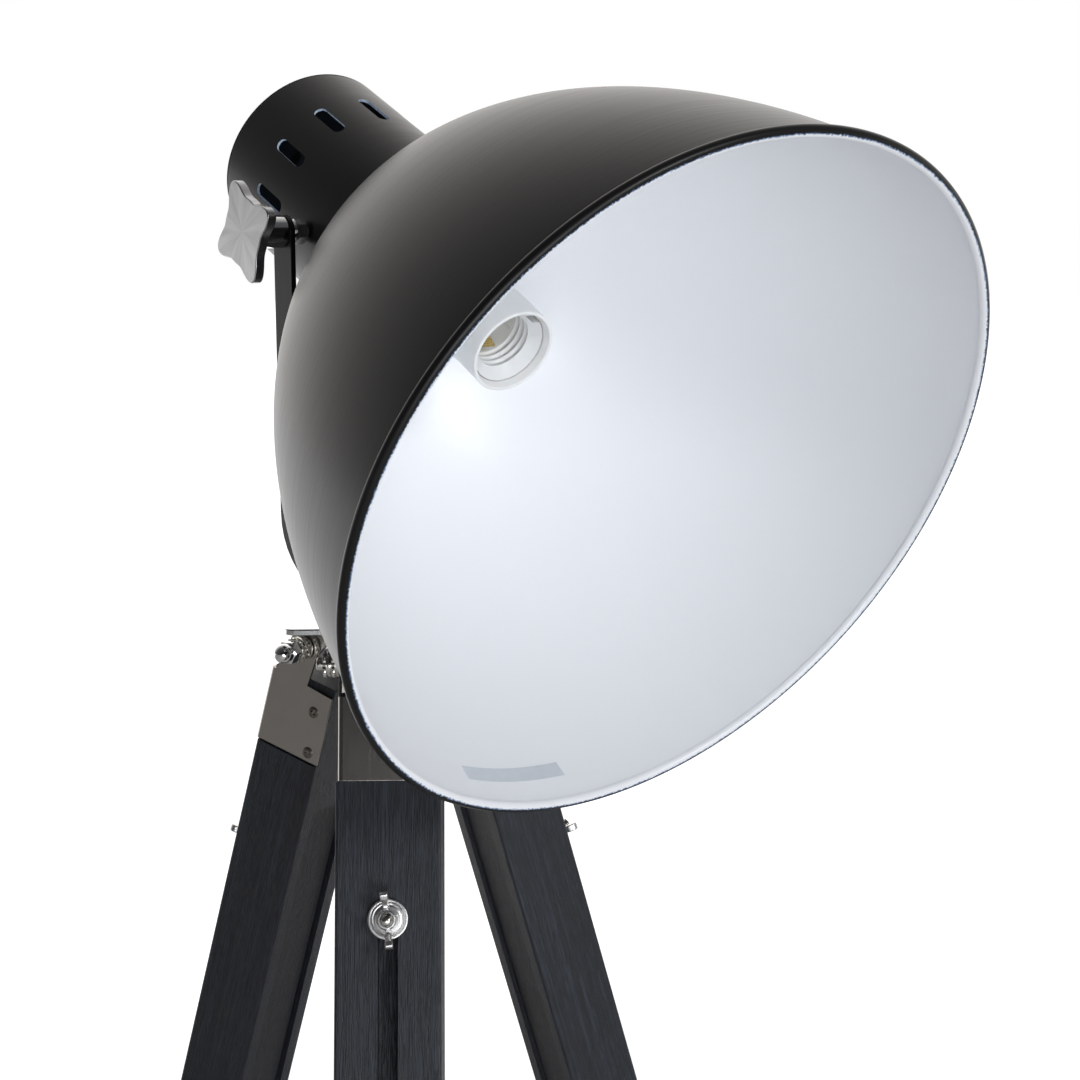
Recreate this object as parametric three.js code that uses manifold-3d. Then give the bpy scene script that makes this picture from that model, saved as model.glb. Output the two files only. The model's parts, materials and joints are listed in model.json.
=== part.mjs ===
// Tripod floor lamp with a dome shade on a tilting yoke and three telescopic wooden legs.
// Millimetres, +Z up. The floor is z = 0 and the front leg points to -Y.
import * as THREE from 'three';
import { mergeVertices } from 'three/addons/utils/BufferGeometryUtils.js';
import Module from 'manifold-3d';

const wasm = await Module();
wasm.setup();

const { cos, sin, sqrt, asin, PI } = Math;
const rad = THREE.MathUtils.degToRad;

// Driving dimensions.
const gap = 0.3;                 // between pieces that touch
const sheet = 1.5;               // bracket sheet metal
const shell = 1.2;               // shade and housing sheet metal
const m6 = { shaft: 3, bore: 3.3, flats: 10 };
const m8 = { shaft: 4, bore: 4.3, flats: 13 };

const splay = rad(16.6);         // leg lean from the vertical
const hinge = { radius: 38, height: 828, depth: 14 };
const leg = { width: 48, depth: 36, top: -14, bottom: -800, corner: 2.5 };
const channel = { width: 30, wall: 8, top: -82 };
const inner = { width: 27, clearance: 1, recess: 2, top: -83.5, bottom: -845 };
const clamp = { along: -115.5, stroke: 400, slotWidth: 9, stud: 27 };
const legs = [
  { name: 'front', azimuth: rad(-90), wingTurn: rad(11) },
  { name: 'right', azimuth: rad(30), wingTurn: rad(72) },
  { name: 'left', azimuth: rad(150), wingTurn: rad(-78) },
];

const plate = { top: 843, thickness: 3, inradius: 31, corner: 5 };
const clevis = { halfWidth: 20.7, sheet: 2.5, eye: 7, back: -18, front: -7 };
const bracket = { top: -16, bottom: -54, halfWidth: 22.8, eye: 8.5 };

const pivotHeight = 1025.7;      // tilt axis above the floor
const pan = rad(37.7);           // shade heading, from the front leg towards +X
const tilt = rad(26.7);          // shade axis below the horizontal
const yoke = { halfGap: 55, sheet: 2.5, width: 15, bend: 50, underside: 845.4 };

// Shade: an ellipsoidal dome. Distances along the shade axis count back from the rim plane.
const dome = { radius: 157, semiDepth: 260, lead: 47, rimToPivot: 234.3, bead: 2.4 };
const housing = { radius: 45.4, front: -31.3, rear: 74.5, slots: 12 };
const holder = { radius: 20.1, wall: 3, front: -108.8, back: -42.2, collarFront: -40.7, droop: rad(3.1) };
const knob = {
  radius: 23.6, waist: 15.5, sharpness: 2.1, thickness: 4.5, lobes: 4, points: 56, turn: rad(45.2),
  boss: 7.35, bossLength: 15.5,
};

// Finishes.
const finish = (color, roughness, metalness) =>
  new THREE.MeshStandardMaterial({ color, roughness, metalness });
const blackPaint = finish(0x1d1c1c, 0.42, 0.1);
const blackWood = finish(0x26272b, 0.55, 0);
const nickel = finish(0xb9b4ab, 0.28, 1);
const chrome = finish(0xd8d8d8, 0.12, 1);
const whitePlastic = finish(0xf1f1ef, 0.4, 0);
const brass = finish(0xc9a04e, 0.3, 1);
const blackRubber = finish(0x151515, 0.9, 0);

// Solids: a merged, closed geometry whose faces point out.
function closed(geometry) {
  geometry.deleteAttribute('normal');
  geometry.deleteAttribute('uv');
  const merged = mergeVertices(geometry, 1e-4);
  const index = merged.index.array;
  const kept = [];
  let volume = 0;
  const corners = [0, 1, 2].map(() => new THREE.Vector3());
  for (let i = 0; i < index.length; i += 3) {
    const face = [index[i], index[i + 1], index[i + 2]];
    if (new Set(face).size < 3) continue;
    kept.push(...face);
    face.forEach((vertex, k) => corners[k].fromBufferAttribute(merged.attributes.position, vertex));
    volume += corners[0].dot(corners[1].cross(corners[2]));
  }
  merged.setIndex(volume < 0 ? kept.reverse() : kept);
  return merged;
}

function toManifold(geometry) {
  const merged = closed(geometry);
  return new wasm.Manifold(new wasm.Mesh({
    numProp: 3,
    vertProperties: new Float32Array(merged.attributes.position.array),
    triVerts: new Uint32Array(merged.index.array),
  }));
}

function fromManifold(solid) {
  const mesh = solid.getMesh();
  const geometry = new THREE.BufferGeometry();
  geometry.setAttribute('position', new THREE.BufferAttribute(mesh.vertProperties, 3));
  geometry.setIndex(new THREE.BufferAttribute(mesh.triVerts, 1));
  return geometry;
}

function join(...pieces) {
  return fromManifold(pieces.map(toManifold).reduce((whole, next) => whole.add(next)));
}

function cut(base, ...tools) {
  return fromManifold(tools.map(toManifold).reduce((rest, tool) => rest.subtract(tool), toManifold(base)));
}

// Turns a shape made along one axis so that it lies along another.
const axisMatrix = {
  latheToX: new THREE.Matrix4().makeRotationZ(-PI / 2),
  latheToY: new THREE.Matrix4(),
  latheToZ: new THREE.Matrix4().makeRotationX(PI / 2),
  extrudeToX: new THREE.Matrix4().set(0, 0, 1, 0, 1, 0, 0, 0, 0, 1, 0, 0, 0, 0, 0, 1),
  extrudeToY: new THREE.Matrix4().makeRotationX(PI / 2),
  extrudeToZ: new THREE.Matrix4(),
};

// A solid of revolution from [radius, height] points that end on the axis or close on themselves.
function turned(points, axis, segments = 14) {
  const profile = points.map(([radius, height]) => new THREE.Vector2(radius, height));
  return closed(new THREE.LatheGeometry(profile, segments).applyMatrix4(axisMatrix['latheTo' + axis]));
}

const rod = (radius, from, to, axis, segments = 14) =>
  turned([[0, from], [radius, from], [radius, to], [0, to]], axis, segments);

const sleeve = (bore, radius, from, to, axis, segments = 20) =>
  turned([[bore, from], [radius, from], [radius, to], [bore, to], [bore, from]], axis, segments);

// A flat shape swept along an axis. Its plane is YZ for X, XZ for Y and XY for Z.
function swept(shape, from, to, axis, curveSegments = 8) {
  const geometry = new THREE.ExtrudeGeometry(shape, { depth: to - from, bevelEnabled: false, curveSegments });
  geometry.translate(0, 0, axis === 'Y' ? -to : from);
  return closed(geometry.applyMatrix4(axisMatrix['extrudeTo' + axis]));
}

function polygon(points) {
  return new THREE.Shape(points.map(([x, y]) => new THREE.Vector2(x, y)));
}

const polar = (radius, angle) => [radius * cos(angle), radius * sin(angle)];

function block(x, y, z) {
  const geometry = new THREE.BoxGeometry(x[1] - x[0], y[1] - y[0], z[1] - z[0]);
  return geometry.translate((x[0] + x[1]) / 2, (y[0] + y[1]) / 2, (z[0] + z[1]) / 2);
}

function hexagon(acrossFlats, from, to, axis) {
  const corners = [0, 1, 2, 3, 4, 5].map((i) => polar(acrossFlats / sqrt(3), i * PI / 3));
  return swept(polygon(corners), from, to, axis);
}

const hexNut = (size, from, to, axis) =>
  cut(hexagon(size.flats, from, to, axis), rod(size.bore, from - 1, to + 1, axis));

function roundedRectangle(x0, x1, y0, y1, radius) {
  const shape = new THREE.Shape();
  shape.absarc(x1 - radius, y1 - radius, radius, 0, PI / 2);
  shape.absarc(x0 + radius, y1 - radius, radius, PI / 2, PI);
  shape.absarc(x0 + radius, y0 + radius, radius, PI, 1.5 * PI);
  shape.absarc(x1 - radius, y0 + radius, radius, 1.5 * PI, 2 * PI);
  return shape;
}

function add(parent, name, geometry, material) {
  const mesh = new THREE.Mesh(closed(geometry), material);
  mesh.name = name;
  parent.add(mesh);
}

// Tripod head: plate, hinge clevises and the pan bolt.
function roundedTriangle(inradius, corner) {
  const shape = new THREE.Shape();
  const reach = 2 * (inradius - corner);
  for (const degrees of [90, 210, 330]) {
    const angle = rad(degrees);
    shape.absarc(reach * cos(angle), reach * sin(angle), corner, angle - PI / 3, angle + PI / 3);
  }
  return shape;
}

function buildHeadPlate(parent) {
  const underside = plate.top - plate.thickness;
  const body = swept(roundedTriangle(plate.inradius, plate.corner), underside, plate.top, 'Z', 6);
  add(parent, 'head_plate', cut(body, rod(m8.bore, underside - 1, plate.top + 1, 'Z')), nickel);
  const washer = { thickness: 1.8, radius: 14 };
  add(parent, 'pan_washer',
    sleeve(m8.bore, washer.radius, plate.top + gap, plate.top + gap + washer.thickness, 'Z'), nickel);
  const seat = yoke.underside + yoke.sheet + gap;
  const nutTop = underside - gap;
  add(parent, 'pan_bolt', join(
    rod(m8.shaft, nutTop - 12, seat + 1, 'Z'),
    hexagon(m8.flats, seat, seat + 5.3, 'Z'),
  ), nickel);
  add(parent, 'pan_nut', hexNut(m8, nutTop - 8, nutTop, 'Z'), nickel);
}

// The clevis frame has its origin on the hinge axis, +X pointing out and +Y along the hinge pin.
function buildClevis(parent, name) {
  const top = plate.top - plate.thickness - gap - hinge.height;
  const { back, front } = clevis;
  const cheek = new THREE.Shape();
  cheek.moveTo(back, top);
  cheek.lineTo(back, top - clevis.sheet - 2);
  cheek.absarc(0, 0, clevis.eye, rad(215), rad(380));
  cheek.lineTo(front + 5, top);
  const cheeks = [-1, 1].map((side) => {
    const faces = [side * clevis.halfWidth, side * (clevis.halfWidth - clevis.sheet)].sort((a, b) => a - b);
    return swept(cheek, faces[0], faces[1], 'Y', 5);
  });
  const web = block([back, front], [-clevis.halfWidth, clevis.halfWidth], [top - clevis.sheet, top]);
  const pinHole = rod(m6.bore, -clevis.halfWidth - 1, clevis.halfWidth + 1, 'Y');
  add(parent, `clevis_${name}`, cut(join(web, ...cheeks), pinHole), nickel);
}

function buildHingePin(parent, name) {
  const face = bracket.halfWidth + gap;
  const rib = { crest: 6.3, root: 5.4, pitch: 2, count: 4 };
  const stack = rib.pitch * rib.count;
  const boltEnd = face + stack + 8;
  const ribsAt = (start) => Array.from({ length: rib.count }, (_, i) => start + i * rib.pitch)
    .flatMap((at) => [[rib.root, at], [rib.crest, at + 0.4], [rib.crest, at + 1.6], [rib.root, at + 2]]);
  const head = -face - stack;
  const profile = [
    [0, head - 3], [2.6, head - 3], [3.2, head - 2.4], [3.2, head], ...ribsAt(head),
    [m6.shaft, -face], [m6.shaft, boltEnd], [0, boltEnd],
  ];
  add(parent, `hinge_bolt_${name}`, turned(profile, 'Y', 16), nickel);
  add(parent, `hinge_lock_nut_${name}`,
    turned([[m6.bore, face], ...ribsAt(face), [m6.bore, face + stack], [m6.bore, face]], 'Y', 16), nickel);
  const start = face + stack + gap;
  const hexEnd = start + 5.5;
  const capRadius = 4.7;
  const cap = [[0, hexEnd - 1], [capRadius, hexEnd - 1]];
  for (let step = 0; step <= 3; step += 1) {
    const angle = step * PI / 6;
    cap.push([capRadius * cos(angle), hexEnd + 1.8 + capRadius * sin(angle)]);
  }
  add(parent, `acorn_nut_${name}`, cut(
    join(hexagon(m6.flats, start, hexEnd, 'Y'), turned(cap, 'Y', 12)),
    rod(m6.bore, start - 1, boltEnd + gap, 'Y', 12),
  ), chrome);
}

// The leg frame has its origin on the hinge axis, +Z up the leg and +X out of its outer face.
const outerFace = hinge.depth;
const innerFace = hinge.depth - leg.depth;

function buildBracket(parent, name) {
  const front = outerFace + gap + sheet;
  const half = bracket.halfWidth;
  const wrap = cut(
    swept(roundedRectangle(innerFace, front, -half, half, 1.2), bracket.bottom, bracket.top, 'Z', 3),
    block([innerFace - 5, outerFace + gap], [sheet - half, half - sheet],
      [bracket.bottom - 1, bracket.top + 1]),
  );
  const ear = new THREE.Shape();
  ear.moveTo(-7, bracket.top - 3);
  ear.lineTo(front - 2, bracket.top - 3);
  ear.lineTo(front - 2, bracket.top);
  ear.absarc(0, 0, bracket.eye, rad(-15), rad(195));
  ear.lineTo(-7, bracket.top);
  const ears = [[-half, sheet - half], [half - sheet, half]].map(([from, to]) =>
    swept(ear, from, to, 'Y', 6));
  const pinHole = rod(m6.bore, -half - 1, half + 1, 'Y');
  add(parent, `leg_bracket_${name}`, cut(join(wrap, ...ears), pinHole), nickel);
}

function buildUpperLeg(parent, name) {
  const half = leg.width / 2;
  const bar = swept(roundedRectangle(innerFace, outerFace, -half, half, leg.corner),
    leg.bottom, leg.top, 'Z', 2);
  const channelFloor = outerFace - channel.wall;
  const groove = block([innerFace - 1, channelFloor], [-channel.width / 2, channel.width / 2],
    [leg.bottom - 1, channel.top]);
  const end = clamp.slotWidth / 2;
  const slotTop = clamp.along + m6.shaft + 1.5 - end;
  const slotBottom = clamp.along - clamp.stroke - 1;
  const slot = new THREE.Shape();
  slot.absarc(0, slotTop, end, 0, PI);
  slot.absarc(0, slotBottom, end, PI, 2 * PI);
  const tongue = bracket.halfWidth - sheet - gap;
  const shoulders = [[-half - 1, -tongue], [tongue, half + 1]].map((side) =>
    block([innerFace - 1, outerFace + 1], side, [bracket.bottom - gap, leg.top + 1]));
  add(parent, `upper_leg_${name}`,
    cut(bar, groove, ...shoulders, swept(slot, channelFloor - 1, outerFace + 1, 'X')), blackWood);
}

const slideFront = outerFace - channel.wall - inner.clearance;
const slideBack = innerFace + inner.recess;

function buildLowerLeg(parent, name) {
  const half = inner.width / 2;
  const bar = swept(roundedRectangle(slideBack, slideFront, -half, half, 1.5),
    inner.bottom, inner.top, 'Z', 2);
  const studHole = rod(m6.bore, -8 - gap, slideFront + 1, 'X').translate(0, 0, clamp.along);
  add(parent, `lower_leg_${name}`, cut(bar, studHole), blackWood);
  const floorAt = (x) => -(hinge.height + x * sin(splay)) / cos(splay);
  const skin = 2.5;
  const x0 = slideBack - gap - skin;
  const x1 = slideFront + gap + skin;
  const cupTop = inner.bottom + 14;
  const outline = polygon([[x0, floorAt(x0)], [x1, floorAt(x1)], [x1, cupTop], [x0, cupTop]]);
  const side = half + gap + skin;
  add(parent, `foot_${name}`, cut(
    swept(outline, -side, side, 'Y'),
    block([slideBack - gap, slideFront + gap], [-half - gap, half + gap], [inner.bottom - gap, cupTop + 1]),
  ), blackRubber);
}

function buildClamp(parent, leg_) {
  const seat = outerFace + gap;
  const group = new THREE.Group();
  group.position.z = clamp.along;
  parent.add(group);
  add(group, `clamp_stud_${leg_.name}`, turned([
    [0, -8], [m6.shaft, -8], [m6.shaft, clamp.stud - 1.5], [m6.shaft * 0.7, clamp.stud - 0.4],
    [0, clamp.stud],
  ], 'X'), nickel);
  const rim = 9.15;
  add(group, `clamp_washer_${leg_.name}`, turned([
    [m6.bore, seat], [rim, seat], [rim, seat + 1.5], [rim - 1.2, seat + 1.5], [rim - 1.8, seat + 0.9],
    [m6.bore, seat + 0.9], [m6.bore, seat],
  ], 'X', 20), nickel);
  const base = seat + 0.9 + gap;
  const wing = new THREE.Shape();
  wing.moveTo(2, 0.8);
  wing.quadraticCurveTo(8.5, 0.6, 12.7, 6.6);
  wing.absarc(10.6, 8.2, 2.6, rad(-38), rad(140));
  wing.quadraticCurveTo(6, 5.6, 2, 6.4);
  const wings = [0, 1].map((turn) =>
    swept(wing, -1.1, 1.1, 'Y', 4).rotateY(PI / 2).rotateX(turn * PI));
  const hub = turned([[0, 0], [5.2, 0], [5.2, 1.2], [4.4, 6.6], [3.8, 7.4], [0, 7.4]], 'X', 14);
  const nut = cut(join(hub, ...wings), rod(m6.bore, -1, 9, 'X', 12));
  nut.rotateX(leg_.wingTurn);
  nut.translate(base, 0, 0);
  add(group, `wing_nut_${leg_.name}`, nut, nickel);
}

function buildLeg(parent, leg_) {
  const pin = new THREE.Group();
  pin.position.set(hinge.radius * cos(leg_.azimuth), hinge.radius * sin(leg_.azimuth), hinge.height);
  pin.rotation.z = leg_.azimuth;
  parent.add(pin);
  buildClevis(pin, leg_.name);
  buildHingePin(pin, leg_.name);
  const leaning = new THREE.Group();
  leaning.rotation.y = -splay;
  pin.add(leaning);
  buildBracket(leaning, leg_.name);
  buildUpperLeg(leaning, leg_.name);
  buildLowerLeg(leaning, leg_.name);
  buildClamp(leaning, leg_);
}

// The yoke turns on the pan bolt. Its frame has +X along the tilt axis and -Y along its heading.
function buildYoke(parent) {
  const bottom = yoke.underside - pivotHeight;
  const outer = yoke.halfGap + yoke.sheet;
  const bend = yoke.bend;
  const shape = new THREE.Shape();
  shape.moveTo(outer, 0);
  shape.lineTo(yoke.halfGap, 0);
  shape.absarc(yoke.halfGap - bend, bottom + yoke.sheet + bend, bend, 0, -PI / 2, true);
  shape.absarc(bend - yoke.halfGap, bottom + yoke.sheet + bend, bend, -PI / 2, -PI, true);
  shape.lineTo(-yoke.halfGap, 0);
  shape.lineTo(-outer, 0);
  shape.absarc(bend - yoke.halfGap, bottom + yoke.sheet + bend, bend + yoke.sheet, PI, 1.5 * PI);
  shape.absarc(yoke.halfGap - bend, bottom + yoke.sheet + bend, bend + yoke.sheet, 1.5 * PI, 2 * PI);
  const half = yoke.width / 2;
  const strap = swept(shape, -half, half, 'Y', 6);
  const eyes = [[yoke.halfGap, outer], [-outer, -yoke.halfGap]].map(([from, to]) =>
    rod(half, from, to, 'X', 20));
  add(parent, 'yoke_bracket', cut(
    join(strap, ...eyes),
    rod(m6.bore, -outer - 1, outer + 1, 'X'),
    rod(m8.bore, bottom - 1, bottom + yoke.sheet + 1, 'Z'),
  ), blackPaint);
}

// The shade frame has its origin on the tilt axis, -Y along the shade axis and +X along the tilt axis.
const domeY = (fromRim) => fromRim - dome.rimToPivot;

function domeCurve(radius, semiDepth, fromRim, toRadius, steps) {
  const start = asin((fromRim + dome.lead) / semiDepth);
  const end = Math.acos(toRadius / radius);
  const points = [];
  for (let i = 0; i <= steps; i += 1) {
    const angle = start + (end - start) * i / steps;
    points.push([radius * cos(angle), domeY(semiDepth * sin(angle) - dome.lead)]);
  }
  return points;
}

const nipple = { radius: 5, bore: 3.5, hole: 5.4 };

function buildDome(parent) {
  const steps = 10;
  const outside = domeCurve(dome.radius, dome.semiDepth, 6, nipple.hole, steps);
  const inside = domeCurve(dome.radius - shell, dome.semiDepth - shell, 4, nipple.hole, steps).reverse();
  const beadRadius = dome.radius + 0.3 - dome.bead;
  const bead = [];
  for (let step = 0; step <= 5; step += 1) {
    const angle = PI + step * 0.3 * PI;
    bead.push([beadRadius + dome.bead * cos(angle), domeY(dome.bead * (1 + sin(angle)))]);
  }
  const profile = [...inside, ...bead, ...outside];
  add(parent, 'shade_dome', turned([...profile, profile[0]], 'Y', 40), blackPaint);
}

function buildHousing(parent) {
  const { radius, front, rear } = housing;
  const tube = sleeve(radius - shell, radius, front, rear, 'Y', 36);
  const slot = { from: 23, to: 46, width: 6 };
  const tools = [rod(m6.bore, -radius - 1, radius + 1, 'X')];
  for (let i = 0; i < housing.slots; i += 1) {
    const end = slot.width / 2;
    const shape = new THREE.Shape();
    shape.absarc(0, slot.to - end, end, 0, PI);
    shape.absarc(0, slot.from + end, end, PI, 2 * PI);
    tools.push(swept(shape, radius - 6, radius + 2, 'Z', 3).rotateY(i * 2 * PI / housing.slots));
  }
  add(parent, 'rear_housing', cut(tube, ...tools), blackPaint);
  const back = rear + gap;
  const lip = radius - shell - gap;
  add(parent, 'housing_cap', turned([
    [7.3, back], [lip - 2, back], [lip - 2, back - 7], [lip, back - 7], [lip, back], [radius, back],
    [radius - 1, back + 1.8], [7.3, back + 1.8], [7.3, back],
  ], 'Y', 32), blackPaint);
  add(parent, 'cable_gland', turned([
    [3.6, back - 3], [9, back - 3], [9, back - gap], [7, back - gap], [7, back + 1.8 + gap],
    [9, back + 1.8 + gap], [9, back + 4], [6.5, back + 10], [3.6, back + 10], [3.6, back - 3],
  ], 'Y', 14), blackRubber);
}

// The lampholder hangs a little below the shade axis: its body, thread and contact share a canted frame.
function buildLampholder(parent) {
  const { radius, wall, front, back, collarFront } = holder;
  const canted = new THREE.Group();
  canted.position.y = collarFront;
  canted.rotation.x = holder.droop;
  parent.add(canted);
  const along = (points) => points.map(([r, y]) => [r, y - collarFront]);
  add(canted, 'lampholder_body', turned(along([
    [nipple.hole, back], [radius, back], [radius, front + 0.8], [radius - 0.8, front],
    [radius - wall + 0.8, front], [radius - wall, front + 0.8], [radius - wall, back - wall],
    [nipple.hole, back - wall], [nipple.hole, back],
  ]), 'Y', 24), whitePlastic);
  const sleeveRadius = radius - wall - gap;
  const funnel = { from: front + 4, to: front + 9 };
  const floor = front + 31;
  const crest = 13.3;
  const root = 14.3;
  const pitch = 3.6;
  const thread = [[crest, floor]];
  for (let turn = 2; turn >= 0; turn -= 1) {
    const start = funnel.to + turn * pitch;
    thread.push([crest, start + 2.8], [root, start + 1.9], [root, start + 0.9], [crest, start]);
  }
  add(canted, 'lampholder_thread', turned(along([
    [0, floor], ...thread, [sleeveRadius - 0.5, funnel.from],
    [sleeveRadius, funnel.from], [sleeveRadius, floor + 2.5], [0, floor + 2.5],
  ]), 'Y', 24), whitePlastic);
  const seat = floor - gap - collarFront;
  const lift = 12;
  const tongue = polygon([
    [seat, -10], [seat, 7], [seat - 0.8, 7], [seat - 0.8, -8], [seat - lift, 1], [seat - lift - 0.6, 0.6],
    [seat - 0.9, -10],
  ]);
  add(canted, 'lamp_contact', swept(tongue, -4.5, 4.5, 'X'), brass);
  const innerSurface = -26.4;
  add(parent, 'lampholder_collar', turned([
    [nipple.hole, innerSurface], [24, innerSurface], [24, innerSurface - 3], [radius, collarFront + 1],
    [radius, collarFront], [nipple.hole, collarFront], [nipple.hole, innerSurface],
  ], 'Y', 24), whitePlastic);
  add(parent, 'lamp_nipple', sleeve(nipple.bore, nipple.radius, -47, -8, 'Y', 12), nickel);
}

// A strap inside the housing ties the nipple to the two tilt bolts.
function buildStrap(parent) {
  const back = { near: -20.6, far: -18.2 };
  const arm = { outer: 43, inner: 40.6, end: 8 };
  const shape = polygon([
    [-arm.outer, arm.end], [-arm.outer, back.near], [arm.outer, back.near], [arm.outer, arm.end],
    [arm.inner, arm.end], [arm.inner, back.far], [-arm.inner, back.far], [-arm.inner, arm.end],
  ]);
  add(parent, 'inner_strap', cut(
    swept(shape, -7, 7, 'Z'),
    rod(nipple.hole, back.near - 1, back.far + 1, 'Y'),
    rod(m6.bore, -50, 50, 'X'),
  ), nickel);
  const nutFront = back.far + gap;
  add(parent, 'nipple_nut',
    cut(hexagon(14, nutFront, nutFront + 4, 'Y'), rod(nipple.hole, nutFront - 1, nutFront + 5, 'Y')), nickel);
  return arm.inner;
}

function buildTiltSide(parent, name, headFace) {
  const outer = yoke.halfGap + yoke.sheet;
  const knobFace = outer + gap + knob.bossLength;
  const headEnd = headFace - gap;
  const shaftEnd = knobFace + 1;
  add(parent, `tilt_bolt_${name}`, turned([
    [0, headEnd - 3], [5, headEnd - 3], [5, headEnd], [m6.shaft, headEnd], [m6.shaft, shaftEnd],
    [0, shaftEnd],
  ], 'X'), nickel);
  const nutFace = housing.radius + 1;
  add(parent, `tilt_nut_${name}`, hexNut(m6, nutFace, nutFace + 5.3, 'X'), nickel);
  const outline = [];
  for (let i = 0; i < knob.points; i += 1) {
    const angle = i * 2 * PI / knob.points;
    const swell = ((1 + cos(knob.lobes * angle)) / 2) ** knob.sharpness;
    outline.push(polar(knob.waist + (knob.radius - knob.waist) * swell, angle));
  }
  add(parent, `star_knob_${name}`, cut(
    join(swept(polygon(outline), knobFace, knobFace + knob.thickness, 'X'),
      rod(knob.boss, outer + gap, knobFace + 1, 'X', 16)),
    rod(m6.bore, outer - 1, shaftEnd + gap, 'X'),
  ).rotateX(knob.turn), nickel);
}

function buildShade(parent) {
  buildDome(parent);
  buildHousing(parent);
  buildLampholder(parent);
  const headFace = buildStrap(parent);
  for (const side of [{ name: 'right', turn: 0 }, { name: 'left', turn: PI }]) {
    const group = new THREE.Group();
    group.rotation.z = side.turn;
    parent.add(group);
    buildTiltSide(group, side.name, headFace);
  }
}

const lamp = new THREE.Group();
buildHeadPlate(lamp);
for (const leg_ of legs) buildLeg(lamp, leg_);
const heading = new THREE.Group();
heading.position.z = pivotHeight;
heading.rotation.z = pan;
lamp.add(heading);
buildYoke(heading);
const tilted = new THREE.Group();
tilted.rotation.x = tilt;
heading.add(tilted);
buildShade(tilted);

// The origin is the middle of the lamp's plan box, on the floor.
lamp.updateMatrixWorld(true);
const box = new THREE.Box3().setFromObject(lamp, true);
lamp.position.set(-(box.min.x + box.max.x) / 2, -(box.min.y + box.max.y) / 2, 0);
lamp.updateMatrixWorld(true);

export default lamp;
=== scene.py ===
import json
from math import acos, asin, atan2, cos, hypot, pi, radians, sin, sqrt

import bmesh
import bpy
from mathutils import Matrix, Vector
from mathutils.geometry import tessellate_polygon


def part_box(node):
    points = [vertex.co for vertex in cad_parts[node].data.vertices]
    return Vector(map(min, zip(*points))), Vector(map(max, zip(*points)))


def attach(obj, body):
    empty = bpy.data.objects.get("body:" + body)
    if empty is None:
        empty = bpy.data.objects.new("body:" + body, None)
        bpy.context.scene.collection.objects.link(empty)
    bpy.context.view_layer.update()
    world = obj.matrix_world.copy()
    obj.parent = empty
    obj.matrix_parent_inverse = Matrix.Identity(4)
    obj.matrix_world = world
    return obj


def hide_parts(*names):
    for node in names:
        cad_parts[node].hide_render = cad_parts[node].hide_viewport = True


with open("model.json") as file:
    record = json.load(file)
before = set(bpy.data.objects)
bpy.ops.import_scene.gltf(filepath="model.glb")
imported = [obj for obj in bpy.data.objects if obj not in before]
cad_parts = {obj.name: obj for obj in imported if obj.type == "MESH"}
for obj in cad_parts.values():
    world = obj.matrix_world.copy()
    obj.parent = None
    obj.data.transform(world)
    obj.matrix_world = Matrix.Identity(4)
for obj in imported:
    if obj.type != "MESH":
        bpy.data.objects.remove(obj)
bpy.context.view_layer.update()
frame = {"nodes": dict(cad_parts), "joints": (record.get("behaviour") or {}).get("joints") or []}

# ---- Frames
# Each sub-part is drawn in millimetres in its own frame, whose place comes from the CAD joints.
MM = 0.001
JOINTS = {joint["name"]: joint for joint in frame["joints"]}
LEGS = ("front", "right", "left")
SIDES = ("right", "left")
UP = Vector((0, 0, 1))


def place(origin, x_axis, z_axis):
    """The matrix of a frame in millimetres, from its origin in metres and two of its axes."""
    x_axis, z_axis = x_axis.normalized(), z_axis.normalized()
    rotation = Matrix((x_axis, z_axis.cross(x_axis), z_axis)).transposed().to_4x4()
    return Matrix.Translation(origin) @ rotation @ Matrix.Scale(MM, 4)


def axis_of(name):
    return Vector(JOINTS[name]["axis"])


def origin_of(name):
    return Vector(JOINTS[name]["pos_m"])


pan_origin = origin_of("yoke_pan")
HEAD = place(Vector((pan_origin.x, pan_origin.y, 0)), Vector((1, 0, 0)), UP)
HINGE = {}
LEG = {}
for leg in LEGS:
    pin = axis_of(f"{leg}_leg_fold")
    HINGE[leg] = place(origin_of(f"{leg}_leg_fold"), pin.cross(UP), UP)
    along = -axis_of(f"{leg}_leg_slide")
    LEG[leg] = place(origin_of(f"{leg}_leg_fold"), axis_of(f"{leg}_wing_nut_turn"), along)
tilt_origin = origin_of("shade_tilt")
tilt_axis = axis_of("right_knob_turn")
YOKE = place(tilt_origin, tilt_axis, UP)
housing_low, housing_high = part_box("rear_housing")
shade_forward = (tilt_origin - (housing_low + housing_high) / 2).normalized()
SHADE = place(tilt_origin, tilt_axis, shade_forward.cross(tilt_axis))

# ---- Driving dimensions in millimetres, the same as the CAD model's
# Heights in a leg's frame count from its hinge pin, and depths in the shade's frame from its tilt axis.
FLOOR_TO_PIVOT = tilt_origin.z / MM
LEG_WIDTH, LEG_DEPTH, LEG_TOP, LEG_BOTTOM = 48, 36, -14, -800
OUTER_FACE = 14
INNER_FACE = OUTER_FACE - LEG_DEPTH
CHANNEL_WIDTH, CHANNEL_WALL, CHANNEL_TOP = 30, 8, -82
INNER_WIDTH, INNER_TOP, INNER_BOTTOM = 27, -83.5, -845
SLIDE_FRONT = OUTER_FACE - CHANNEL_WALL - 1
SLIDE_BACK = INNER_FACE + 2
CLAMP, STROKE, SLOT_WIDTH = -115.5, 400, 9
SPLAY = acos(-axis_of("front_leg_slide").z)
HINGE_HEIGHT = origin_of("front_leg_fold").z / MM
PLATE_TOP, PLATE_THICKNESS, PLATE_INRADIUS, PLATE_CORNER = 843, 3, 31, 5
BRACKET_SHEET, BRACKET_HALF, BRACKET_TOP, BRACKET_BOTTOM = 1.5, 22.8, -16, -54
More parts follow.
